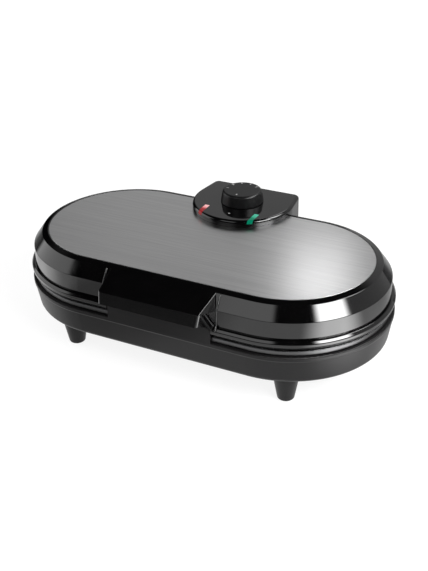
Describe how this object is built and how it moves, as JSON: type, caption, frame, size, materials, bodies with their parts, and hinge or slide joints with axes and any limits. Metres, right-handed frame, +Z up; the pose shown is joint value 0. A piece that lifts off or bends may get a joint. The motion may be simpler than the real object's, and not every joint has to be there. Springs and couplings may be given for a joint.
{
  "type": "double heart waffle maker",
  "caption": "Oblong countertop waffle maker with a hinged lid, steel top plate, front handle, thermostat knob with two lamps, and cooking plates with heart cells.",
  "frame": {"origin": "on the table, below the middle of the whole object's plan", "axes": "+X along the length, +Y towards the hinge at the rear, +Z up"},
  "size_m": [0.36, 0.2285, 0.1221],
  "materials": {
    "base_plastic": "satin dark grey moulding",
    "lid_gloss": "glossy black moulding",
    "knob_plastic": "satin dark grey",
    "brushed_plate": "brushed lengthwise",
    "cast_plate": "cast, dark coating on the cells, bare edge",
    "element_tube": "heat darkened tube",
    "reflector_sheet": "aluminised sheet",
    "ceramic": null,
    "terminal_brass": "plain brass",
    "fuse_tin": "tinned can",
    "pad_rubber": "soft black rubber",
    "screw_steel": "zinc plated",
    "red_lens": "clear red lens",
    "green_lens": "clear green lens",
    "lamp_glass": "small neon lamp",
    "thermostat_case": "moulded ceramic filled case"
  },
  "bodies": {
    "base": {"base_housing": "base_plastic", "foot_front_left": "base_plastic", "foot_front_right": "base_plastic", "foot_rear_left": "base_plastic", "foot_rear_right": "base_plastic", "foot_pads": "pad_rubber", "foot_screws": "screw_steel", "lower_plate_screws": "screw_steel", "lower_cooking_plate": "cast_plate", "lower_heating_element": "element_tube", "lower_element_terminals": "ceramic", "lower_reflector": "reflector_sheet", "terminal_block": "ceramic", "terminal_screws": "terminal_brass", "thermal_fuse": "fuse_tin", "fuse_clip": "screw_steel", "cord_bushing": "pad_rubber"},
    "lid": {"upper_cooking_plate": "cast_plate", "upper_heating_element": "element_tube", "upper_element_terminals": "ceramic", "upper_reflector": "reflector_sheet", "lid_housing": "lid_gloss", "control_housing": "lid_gloss", "lid_handle": "lid_gloss", "steel_top_plate": "brushed_plate", "handle_screws": "screw_steel", "control_screws": "screw_steel", "upper_plate_screws": "screw_steel", "upper_reflector_screws": "screw_steel", "red_lens": "red_lens", "green_lens": "green_lens", "red_lamp": "lamp_glass", "green_lamp": "lamp_glass", "thermostat": "thermostat_case", "thermostat_nut": "terminal_brass", "hinge_pin_left": "screw_steel", "hinge_pin_right": "screw_steel"},
    "knob": {"knob": "knob_plastic", "thermostat_shaft": "terminal_brass"}
  },
  "joints": [
    {"name": "lid_hinge", "type": "hinge", "parent": "base", "child": "lid", "pos_m": [0, 0.104, 0.062], "axis": [-1, 0, 0], "range_deg": [0, 95]},
    {"name": "knob_turn", "type": "hinge", "parent": "lid", "child": "knob", "pos_m": [0, 0.078, 0.11], "axis": [0, 0, -1], "range_deg": [0, 270]}
  ]
}
